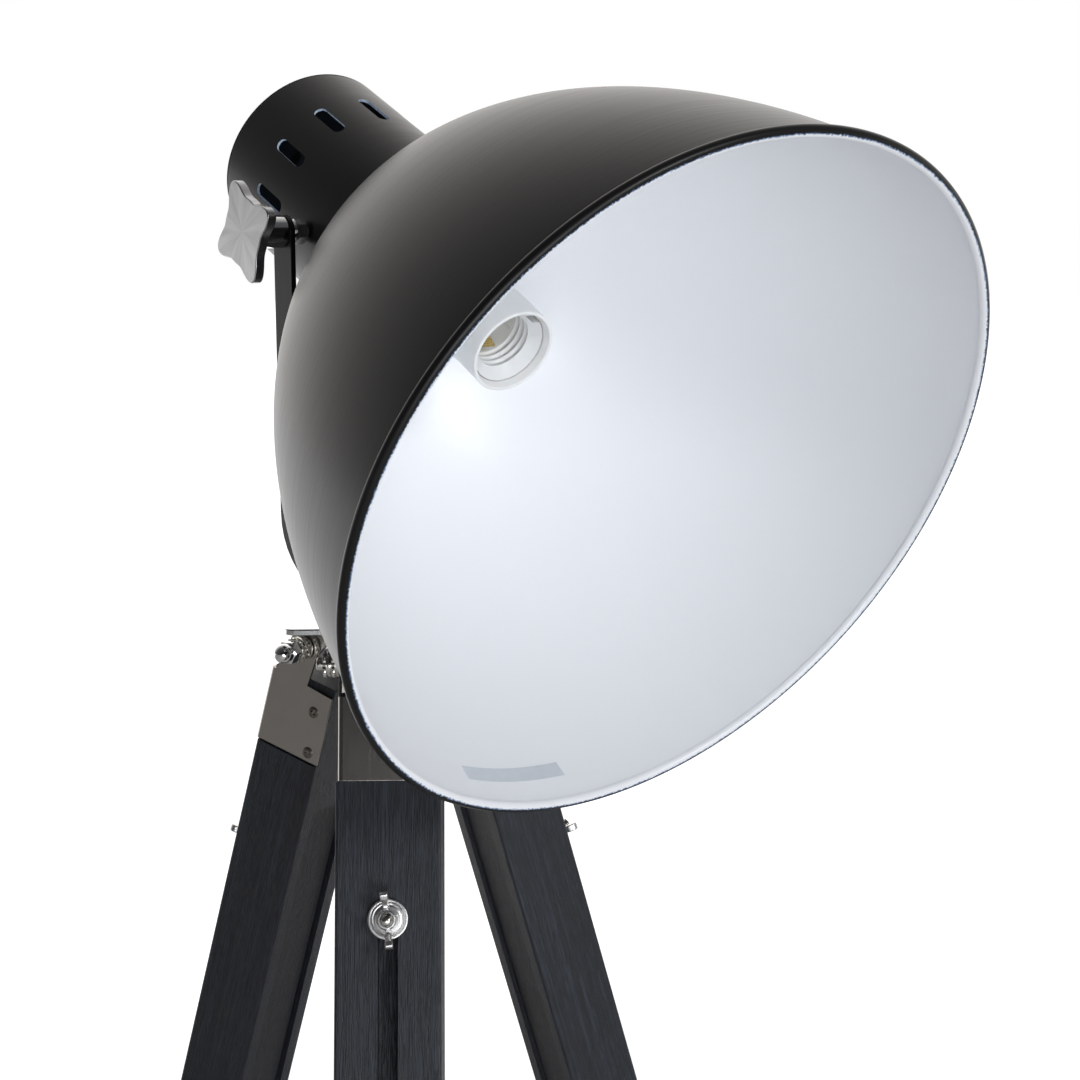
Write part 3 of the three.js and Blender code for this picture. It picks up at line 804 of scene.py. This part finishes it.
def screw_head(radius=2.9, recess=1.9):
    """A raised countersunk head with a cross recess, along +Z, with its seat at z = 0."""
    crown = [(radius * sin(radians(a)), -0.05 + 0.62 * cos(radians(a)) ** 0.8) for a in range(0, 81, 8)]
    head = turned([(0, -1.0), (radius * 0.6, -1.0), (radius, -0.2), (radius, 0.05)] + crown[::-1], "Z", 40)
    slots = [plate(rectangle(-recess, recess, -0.38, 0.38, 0.2), -0.35, 1, edge=0.02, steps=1)
             for _ in range(2)]
    slots[1].transform(Matrix.Rotation(pi / 2, 4, "Z"))
    return carve(head, slots)


def build_upper_leg(leg):
    """A bar with a channel along its inner face, a slot through its outer face and a narrower tongue
    inside the bracket."""
    half, past = LEG_WIDTH / 2, 5
    section = rectangle(INNER_FACE, OUTER_FACE, -half, half, 1.8, 5)
    bar = plate(section, LEG_BOTTOM, LEG_TOP, edge=1.2, steps=3)
    floor = OUTER_FACE - CHANNEL_WALL
    opening = rectangle(INNER_FACE - past, floor, -CHANNEL_WIDTH / 2, CHANNEL_WIDTH / 2, 0.4, 2)
    groove = plate(opening, LEG_BOTTOM - past, CHANNEL_TOP, edge=0.2, steps=1)
    end = SLOT_WIDTH / 2
    top = CLAMP + M6 + 1.5 - end
    bottom = CLAMP - STROKE - 1
    outline = arc(0, top, end, 0, 180, 16) + arc(0, bottom, end, 180, 360, 16)
    slot = plate(outline, floor - 3, OUTER_FACE + 3, "X", edge=0.05, steps=1)
    tongue = BRACKET_HALF - BRACKET_SHEET - GAP
    shoulders = []
    for side in (-1, 1):
        low, high = sorted((side * tongue, side * (half + past)))
        waste = rectangle(INNER_FACE - past, OUTER_FACE + past, low, high)
        shoulders.append(plate(waste, BRACKET_BOTTOM - GAP, LEG_TOP + past, edge=0.05, steps=1))
    wood = rounded(carve(bar, [groove, slot, *shoulders]), 0.5, 2, 50)
    piece(f"leg_upper_{leg}", wood, LEG[leg], f"{leg}_upper_leg", WOOD, [f"upper_leg_{leg}"])


def build_lower_leg(leg):
    half = INNER_WIDTH / 2
    section = rectangle(SLIDE_BACK, SLIDE_FRONT, -half, half, 1.2, 4)
    bar = plate(section, INNER_BOTTOM, INNER_TOP, edge=0.6, steps=2)
    body = f"{leg}_lower_leg"
    piece(f"leg_lower_{leg}", bar, LEG[leg], body, ROUGH_WOOD, [f"lower_leg_{leg}"])
    # The rubber foot is a cup whose sole lies flat on the floor, with two grooves round it.
    skin, cup_height, groove_width, groove_depth = 2.5, 14, 1.2, 0.7
    x0 = SLIDE_BACK - GAP - skin
    x1 = SLIDE_FRONT + GAP + skin
    side = half + GAP + skin
    sole = {x: -(HINGE_HEIGHT + x * sin(SPLAY)) / cos(SPLAY) for x in (x0, x1)}
    cup_top = INNER_BOTTOM + cup_height
    outline = [(x0, -sole[x0], 1.2), (x1, -sole[x1], 1.2), (x1, -cup_top, 0.6), (x0, -cup_top, 0.6)]
    cup = plate(fillet(outline, 1, 4), -side, side, "Y", edge=1.2, steps=4)
    play = GAP / 2
    inside = rectangle(SLIDE_BACK - play, SLIDE_FRONT + play, -half - play, half + play, 1.2, 3)
    hollow = plate(inside, INNER_BOTTOM - GAP, cup_top + 5, edge=0.05, steps=1)
    kept = rectangle(x0 + groove_depth, x1 - groove_depth, -side + groove_depth, side - groove_depth, 1.0, 3)
    rings = []
    for z in (cup_top - 5, cup_top - 8.4):
        slab = plate(rectangle(x0 - 3, x1 + 3, -side - 3, side + 3), z, z + groove_width, edge=0.02, steps=1)
        rings.append(carve(slab, [plate(kept, cup_top - 12, cup_top - 2, edge=0.05, steps=1)]))
    foot = carve(cup, [hollow, *rings])
    piece(f"rubber_foot_{leg}", foot, LEG[leg], body, RUBBER, [f"foot_{leg}"])


def build_clamp(leg):
    """The stud in the lower leg, with the dished washer and the wing nut that clamp it in the slot."""
    lower, nut = f"{leg}_lower_leg", f"{leg}_wing_nut"
    here = LEG[leg] @ Matrix.Translation((0, 0, CLAMP))
    seat = OUTER_FACE + GAP
    stud_start, stud_end, tip_radius, tip_rise = -8, 27, 2.45, 1.3
    rod = threaded(M6, stud_start, stud_end - 0.7, "X")
    crown = quarter(tip_radius, stud_end - tip_rise, tip_rise, 15)
    tip = turned([(0, stud_end - 1.6), (tip_radius, stud_end - 1.6)] + crown, "X", 28)
    piece(f"stud_{leg}", together(rod, tip), here, lower, TURNED, [f"clamp_stud_{leg}"])
    rim, bore = 9.15, M6 + 0.3
    dish = fillet([
        (bore, seat, 0.1), (rim, seat, 0.5), (rim, seat + 1.5, 0.6), (rim - 1.3, seat + 1.5, 0.6),
        (rim - 2.0, seat + 0.75, 0.5), (6.4, seat + 0.62, 0.4), (5.7, seat + 1.0, 0.3),
        (bore, seat + 1.05, 0.1),
    ], 0.2, 5)
    piece(f"washer_{leg}", turned(dish, "X", 72), here, lower, SATIN, [f"clamp_washer_{leg}"])
    bore = M6 + 0.05
    hub = turned(fillet([
        (bore, 0, 0.1), (5.2, 0, 0.3), (5.2, 1.3, 0.4), (4.3, 6.4, 0.6), (3.9, 7.4, 0.3), (bore, 7.4, 0.3),
    ], 0.3, 5), "X", 56)
    tip = furthest(f"wing_nut_{leg}", here)
    spin = Matrix.Rotation(atan2(-tip.y, tip.z), 4, "X")
    body = together(hub, wing(0), wing(pi))
    body.transform(Matrix.Translation((seat + 1.2, 0, 0)) @ spin)
    piece(f"wing_{leg}", body, here, nut, SATIN, [f"wing_nut_{leg}"], sharp=50)


def wing(turn):
    """One wing of a wing nut. It is drawn with its reach along x and its rise along y, is thinnest near
    the hub and thickens towards its tip."""
    half_thickness, root, spread = 1.55, 4.5, 6
    outline = fillet([
        (2.6, 0.7, 0.2), (7.6, 1.1, 4), (11.6, 5.2, 4), (13.4, 8.2, 2.6),
        (11.4, 10.9, 2.4), (9.0, 9.6, 2.0), (6.6, 6.4, 3), (2.6, 6.6, 0.2),
    ], 1, 6)
    mesh = plate(outline, -half_thickness, half_thickness, edge=0.5, steps=4)
    for vert in mesh.vertices:
        reach = max(0.0, min(1.0, (vert.co.x - root) / spread))
        vert.co.z *= 0.62 + 0.5 * reach * reach * (3 - 2 * reach)
    laid = Matrix(((0, 1, 0, 0), (0, 0, 1, 0), (1, 0, 0, 0), (0, 0, 0, 1)))
    return moved(mesh, Matrix.Rotation(turn, 4, "X") @ laid)


# ---- Yoke
def build_yoke():
    bottom = YOKE_FOOT - FLOOR_TO_PIVOT
    outer = YOKE_HALF + YOKE_SHEET
    corner, height = YOKE_HALF - YOKE_BEND, bottom + YOKE_SHEET + YOKE_BEND
    wide = YOKE_BEND + YOKE_SHEET
    path = [(YOKE_HALF, 0)] + arc(corner, height, YOKE_BEND, 0, -90, 14)
    path += arc(-corner, height, YOKE_BEND, -90, -180, 14) + [(-YOKE_HALF, 0), (-outer, 0)]
    path += arc(-corner, height, wide, 180, 270, 14)
    path += arc(corner, height, wide, 270, 360, 14) + [(outer, 0)]
    half = YOKE_WIDTH / 2
    strap = plate(upright(path), -half, half, "Y", edge=0.35)
    eyes = [plate(circle(half, 48), low, high, "X", [circle(M6 + GAP, 28)], edge=0.35)
            for low, high in ((YOKE_HALF, outer), (-outer, -YOKE_HALF))]
    tilt_hole = drill(M6 + GAP, -outer - 2, outer + 2, "X", 28)
    pan_hole = drill(M8 + GAP, bottom - 2, bottom + 6, "Z", 32)
    body = carve(carve(strap, eyes, "UNION"), [tilt_hole, pan_hole])
    piece("yoke_strap", body, YOKE, "yoke", BLACK_STRAP, ["yoke_bracket"])


# ---- Shade
def dome_points(inward, from_rim, to_radius, steps):
    """Points on the dome's ellipse, from near the rim to a radius near its top."""
    radius, depth = DOME_RADIUS - inward, DOME_DEPTH - inward
    start = asin((from_rim + DOME_LEAD) / depth)
    end = acos(to_radius / radius)
    angles = [start + (end - start) * i / steps for i in range(steps + 1)]
    return [(radius * cos(a), RIM + depth * sin(a) - DOME_LEAD) for a in angles]


def build_dome():
    """A spun bowl with a rolled rim, black outside and white inside, and the border between them on the
    rim's crest."""
    hole, steps, segments = 5.4, 84, 320
    bead, crest_angle, farthest = 2.4, 262, 40.0
    outside = dome_points(0, 5.4, hole, steps)
    inside = dome_points(SHELL, 3.6, hole, steps)[::-1]
    centre = DOME_RADIUS + GAP - bead
    angles = range(168, 432, 8)
    rolled = [(centre + bead * cos(radians(a)), RIM + bead * (1 + sin(radians(a)))) for a in angles]
    profile = inside + rolled + outside
    mesh = turned(profile, "Y", segments)
    crest = len(inside) + sum(1 for a in angles if a < crest_angle)
    distances = [0.0]
    for before, after in zip(profile, profile[1:]):
        distances.append(distances[-1] + hypot(after[0] - before[0], after[1] - before[1]))
    values = []
    for distance in distances:
        values += [max(-farthest, min(farthest, distances[crest] - distance))] * segments
    mesh.attributes.new("paint", "FLOAT", "POINT").data.foreach_set("value", values)
    piece("dome_shell", mesh, SHADE, "shade", PAINT, ["shade_dome"], sharp=60)


def build_label():
    """The blank rating label stuck inside the dome, near its rim."""
    middle, half_angle, near, far = radians(-100.2), radians(10.5), 14.5, 22.0
    rows, columns = 8, 40
    radius, depth = DOME_RADIUS - SHELL, DOME_DEPTH - SHELL
    bm = bmesh.new()
    for lift in (0.12, 0.04):
        for i in range(rows + 1):
            for j in range(columns + 1):
                height = near + (far - near) * i / rows
                angle = middle + half_angle * (2 * j / columns - 1)
                reach = radius * sqrt(1 - ((height + DOME_LEAD) / depth) ** 2) - lift
                bm.verts.new((reach * cos(angle), RIM + height, reach * sin(angle)))
    bm.verts.ensure_lookup_table()
    layer = (rows + 1) * (columns + 1)

    def at(side, i, j):
        return bm.verts[side * layer + i * (columns + 1) + j]

    for side in (0, 1):
        for i in range(rows):
            for j in range(columns):
                corners = ((i, j), (i + 1, j), (i + 1, j + 1), (i, j + 1))
                bm.faces.new([at(side, *corner) for corner in corners])
    border = [(0, j) for j in range(columns)] + [(i, columns) for i in range(rows)]
    border += [(rows, j) for j in range(columns, 0, -1)] + [(i, 0) for i in range(rows, 0, -1)]
    for (i, j), (k, m) in zip(border, border[1:] + border[:1]):
        bm.faces.new((at(0, i, j), at(0, k, m), at(1, k, m), at(1, i, j)))
    piece("blank_label", mesh_from(bm), SHADE, "shade", LABEL)


def build_housing():
    """The tube behind the dome, with a ring of vent slots, its closing cap and the cable gland."""
    radius, inner = HOUSING_RADIUS, HOUSING_RADIUS - SHELL
    tube = turned(fillet([
        (inner, HOUSING_FRONT, 0.1), (radius, HOUSING_FRONT, 0.2),
        (radius, HOUSING_REAR, 0.5), (inner, HOUSING_REAR, 0.3),
    ], 0.2, 3), "Y", 192)
    start, end, half = 23, 46, 3.0
    outline = arc(0, end - half, half, 0, 180, 14) + arc(0, start + half, half, 180, 360, 14)
    slots = []
    for i in range(SLOTS):
        slot = plate(outline, radius - 8, radius + 4, "Z", edge=0.05, steps=1)
        slots.append(moved(slot, Matrix.Rotation(i * 2 * pi / SLOTS, 4, "Y")))
    bore = drill(M6 + GAP, -60, 60, "X", 24)
    body = carve(carve(tube, [together(*slots)]), [bore])
    for polygon in body.polygons:
        if hypot(polygon.center.x, polygon.center.z) < radius - 0.12:
            polygon.material_index = 1
    # The inner faces and the vents' cut faces take the white with painted shade and a painted glow.
    skins = [BLACK_TURNED, VENT_WHITE_PAINTED_SHADE_GLOW]
    piece("housing_shell", rounded(body, 0.16, 2, 40), SHADE, "shade", skins, ["rear_housing"])
    back, lip, hole, lip_depth = HOUSING_REAR + GAP, inner - GAP, 7.3, 7
    cap = fillet([
        (hole, back, 0.1), (lip - 2, back, 0.3), (lip - 2, back - lip_depth, 0.3),
        (lip, back - lip_depth, 0.3), (lip, back, 0.1), (radius, back, 0.3), (radius, back + 0.6, 0.6),
        (radius - 2.2, back + 1.8, 1.2), (hole, back + 1.8, 0.2),
    ], 0.3, 4)
    piece("cap_disc", turned(cap, "Y", 160), SHADE, "shade", BLACK_TURNED, ["housing_cap"])
    bore, flange, neck = 3.6, 9, 7
    gland = [(bore, back - 3), (flange, back - 3, 0.3), (flange, back - 0.2, 0.2), (neck, back - 0.2, 0.1),
             (neck, back + 2, 0.1), (flange, back + 2, 0.3), (flange, back + 4.4, 0.5)]
    for z in (4.8, 6.6, 8.4):
        rib = 7.6 - z * 0.08
        gland += [(6.9, back + z, 0.2), (rib, back + z + 0.4, 0.3), (rib, back + z + 1.1, 0.3)]
    gland += [(6.0, back + 10, 0.4), (bore, back + 10, 0.3)]
    sleeve = turned(fillet(gland, 0.2, 3), "Y", 64)
    piece("gland_sleeve", sleeve, SHADE, "shade", RUBBER, ["cable_gland"])


def build_lampholder():
    body, slot = "shade", "white_plastic"
    radius, front, back = SKIRT_RADIUS, SKIRT_FRONT, SKIRT_BACK
    inner, hole = SKIRT_RADIUS - SKIRT_WALL, 5.4
    skirt = turned(fillet([
        (hole, back, 0.1), (radius, back, 0.6), (radius, front, 1.0), (radius - 1.5, front, 0.7),
        (inner + 0.4, front + 3.4, 1.0), (inner, back - SKIRT_WALL, 0.3), (hole, back - SKIRT_WALL, 0.1),
    ], 0.3, 5), "Y", 128)
    piece("lampholder_skirt", skirt, HOLDER, body, PLASTIC, ["lampholder_body"])
    floor, funnel, mouth, base = front + 31, front + 4, front + 9, 2.5
    sleeve = inner + 0.05
    pitch, crest, depth, turns, fade_in = 3.6, 13.0, 1.3, 3.3, 0.4
    rows = 110
    bore = [(crest, mouth + (floor - mouth) * i / rows) for i in range(rows + 1)]

    def helix(angle, reach, height):
        run = (height - mouth) / pitch
        if abs(reach - crest) > 1e-6 or not 0 < run < turns:
            return reach
        phase = run - angle / (2 * pi)
        fade = min(1.0, run / fade_in, (turns - run) / fade_in)
        return reach + fade * depth * (0.5 - 0.5 * cos(2 * pi * phase))

    profile = [(0, floor)] + bore[::-1] + [(crest + 0.5, mouth - 0.5), (sleeve, funnel)]
    profile += [(sleeve, floor + base), (0, floor + base)]
    thread = turned(profile, "Y", 128, helix)
    opening = rectangle(-3.0, 3.0, funnel - 2, mouth + 6, 0.3)
    notch = plate(opening, crest + 1.6, sleeve + 1, "Z", edge=0.02, steps=1)
    notch.transform(Matrix.Rotation(radians(35), 4, "Y"))
    lining = carve(thread, [notch])
    piece("socket_thread", lining, HOLDER, body, PLASTIC, ["lampholder_thread"], sharp=45)
    build_contact(floor - GAP)
    face, flare, thickness = -26.4, 24, 3
    collar = fillet([
        (hole, face, 0.1), (flare, face, 0.4), (flare, face - thickness, 1.0),
        (radius, COLLAR_FRONT + 1, 1.0), (radius, COLLAR_FRONT, 0.2), (hole, COLLAR_FRONT, 0.1),
    ], 0.3, 5)
    piece("collar_ring", turned(collar, "Y", 96), SHADE, body, PLASTIC, ["lampholder_collar"])


def build_contact(seat):
    """The contact stands up from the floor at one side, then folds over towards the axis and narrows to
    a point."""
    foot, fold, tip, thick, half_width = 7.0, -8.8, -2.8, 0.8, 5
    crown = seat - 12.6
    strip = [
        (foot, seat), (fold, seat), (fold, crown), (tip, crown + 2.7), (tip - 0.3, crown + 2.7 + thick),
        (fold + thick, crown + 1.1), (fold + thick, seat - thick), (foot, seat - thick),
    ]
    tongue = plate([(y, z) for z, y in strip], -half_width, half_width, "X", edge=0.1, steps=2)
    for vert in tongue.vertices:
        if vert.co.y < crown + 4 and vert.co.z > fold + thick + 0.2:
            vert.co.x *= 0.12
    piece("contact_tongue", tongue, HOLDER, "shade", BRASS, ["lamp_contact"])


def build_tilt_side(side):
    """The hexagon nut and the four-cornered star knob on one tilt bolt."""
    flip = SHADE @ (Matrix.Identity(4) if side == "right" else Matrix.Rotation(pi, 4, "Z"))
    nut = hex_solid(10, HOUSING_RADIUS + 1, HOUSING_RADIUS + 6.3, "X", M6 + 0.05, 0.8)
    piece(f"tilt_hex_nut_{side}", nut, flip, "shade", SATIN, [f"tilt_nut_{side}"])
    boss_radius, boss_length = 7.35, 15.5
    base = YOKE_HALF + YOKE_SHEET + GAP
    face = base + boss_length
    radius, waist, sharpness, thickness, corners, points = 23.6, 15.5, 2.1, 4.5, 4, 160
    outline = []
    for i in range(points):
        angle = 2 * pi * i / points
        lobe = (0.5 + 0.5 * cos(corners * angle)) ** sharpness
        reach = waist + (radius - waist) * lobe
        outline.append((reach * cos(angle), reach * sin(angle)))
    star = plate(outline, face, face + thickness, "X", edge=0.55, steps=4)
    bore, top = M6 + GAP, face + 0.4
    profile = [(bore, base, 0.2), (boss_radius, base, 0.5), (boss_radius, top, 0.2), (bore, top, 0)]
    boss = turned(fillet(profile, 0.3, 4), "X", 64)
    tip = furthest(f"star_knob_{side}", flip)
    spin = Matrix.Rotation(atan2(tip.z, tip.y), 4, "X")
    body = f"{side}_knob"
    piece(f"star_plate_{side}", moved(star, spin), flip, body, KNOB, [f"star_knob_{side}"])
    piece(f"knob_boss_{side}", moved(boss, spin), flip, body, CHROME)


def dress_cad_nodes():
    """The pieces inside the housing keep the CAD's shape and get a steel of their own."""
    for node in ("lamp_nipple", "inner_strap", "nipple_nut", "tilt_bolt_right", "tilt_bolt_left"):
        obj = frame["nodes"][node]
        obj.data.materials.clear()
        obj.data.materials.append(INNER_STEEL)


# ---- Camera, floor and light
def build_camera():
    heading, pitch, roll = radians(0.383), radians(-8.754), radians(-0.36)
    forward = Vector((sin(heading) * cos(pitch), cos(heading) * cos(pitch), sin(pitch)))
    right = forward.cross(UP).normalized()
    up = right.cross(forward)
    leaned_right = right * cos(roll) + up * sin(roll)
    leaned_up = up * cos(roll) - right * sin(roll)
    data = bpy.data.cameras.new("camera")
    data.sensor_width = 36
    data.lens = 66.67
    camera = bpy.data.objects.new("camera", data)
    rotation = Matrix((leaned_right, leaned_up, -forward)).transposed().to_4x4()
    camera.matrix_world = Matrix.Translation(HEAD @ Vector((63.4, -943.8, 1024.8))) @ rotation
    bpy.context.scene.collection.objects.link(camera)
    bpy.context.scene.camera = camera


def area_light(name, position, target, size, power, colour):
    data = bpy.data.lights.new(name, "AREA")
    data.shape = "RECTANGLE"
    data.size, data.size_y = size
    data.energy = power
    data.color = colour
    light = bpy.data.objects.new(name, data)
    light.location = position
    light.rotation_euler = (Vector(target) - Vector(position)).to_track_quat("-Z", "Y").to_euler()
    bpy.context.scene.collection.objects.link(light)


def build_floor():
    """The floor is pale by the lamp and runs into the white backdrop. The light that it throws back on
    the lamp comes from behind it, where a studio's backdrop is lit."""
    reach, grey = 30, (0.62, 0.62, 0.62)
    mesh = bpy.data.meshes.new("floor")
    corners = [(x, y, 0) for x, y in ((-reach, -reach), (reach, -reach), (reach, reach), (-reach, reach))]
    mesh.from_pydata(corners, [], [(0, 1, 2, 3)])
    floor = bpy.data.objects.new("floor", mesh)
    bpy.context.scene.collection.objects.link(floor)
    n = Material("studio_floor")
    x, y, _ = n.parts(n.coordinates("Object"))
    pale = n.between(n.hypot(x, y), 0.22, 1.0, 0.6, 1.8)
    behind = n.between(y, 0.0, 1.3, 0.9, 1.5)
    seen = n.camera_ray()
    glow = n.plus(n.times(n.minus(1.0, seen), behind), n.times(seen, pale))
    mesh.materials.append(n.set(Base_Color=grey, Roughness=0.9, Emission_Color=(1.0, 1.0, 1.0),
                                Emission_Strength=glow))


def build_world():
    """The room is bright behind and above the lamp and darker on the camera's side."""
    world = bpy.data.worlds.new("studio")
    bpy.context.scene.world = world
    n = Nodes(world)
    across = n.parts(n.coordinates("Generated"))[1]
    room = n.ramp(n.between(across, 0.0, 1.0, -1.0, 1.0), (0.0, (0.012, 0.012, 0.013)),
                  (0.5, (0.06, 0.061, 0.064)), (0.75, (0.40, 0.39, 0.38)), (0.92, (1.0, 0.97, 0.94)))
    light = n.node("ShaderNodeBackground", Color=room, Strength=1.6).outputs[0]
    backdrop = n.node("ShaderNodeBackground", Color=(1, 1, 1)).outputs[0]
    mixed = n.node("ShaderNodeMixShader", i0=n.camera_ray(), i1=light, i2=backdrop).outputs[0]
    n.feed(n.tree.nodes["World Output"], "Surface", mixed)


def build_lights():
    target = (0.05, 0, 0.95)
    area_light("key", (2.0, -1.9, 1.75), target, (0.7, 0.7), 25, (0.985, 0.99, 1.0))
    area_light("fill", (0.9, -2.6, 0.55), target, (2.2, 0.9), 38, (0.94, 0.965, 1.0))


bpy.context.scene.view_settings.view_transform = "Standard"
build_camera()
build_floor()
build_world()
build_lights()
build_head()
for leg in LEGS:
    build_clevis(leg)
    build_hinge_pin(leg)
    build_bracket(leg)
    build_upper_leg(leg)
    build_lower_leg(leg)
    build_clamp(leg)
build_yoke()
build_dome()
build_label()
build_housing()
build_lampholder()
for side in SIDES:
    build_tilt_side(side)
dress_cad_nodes()
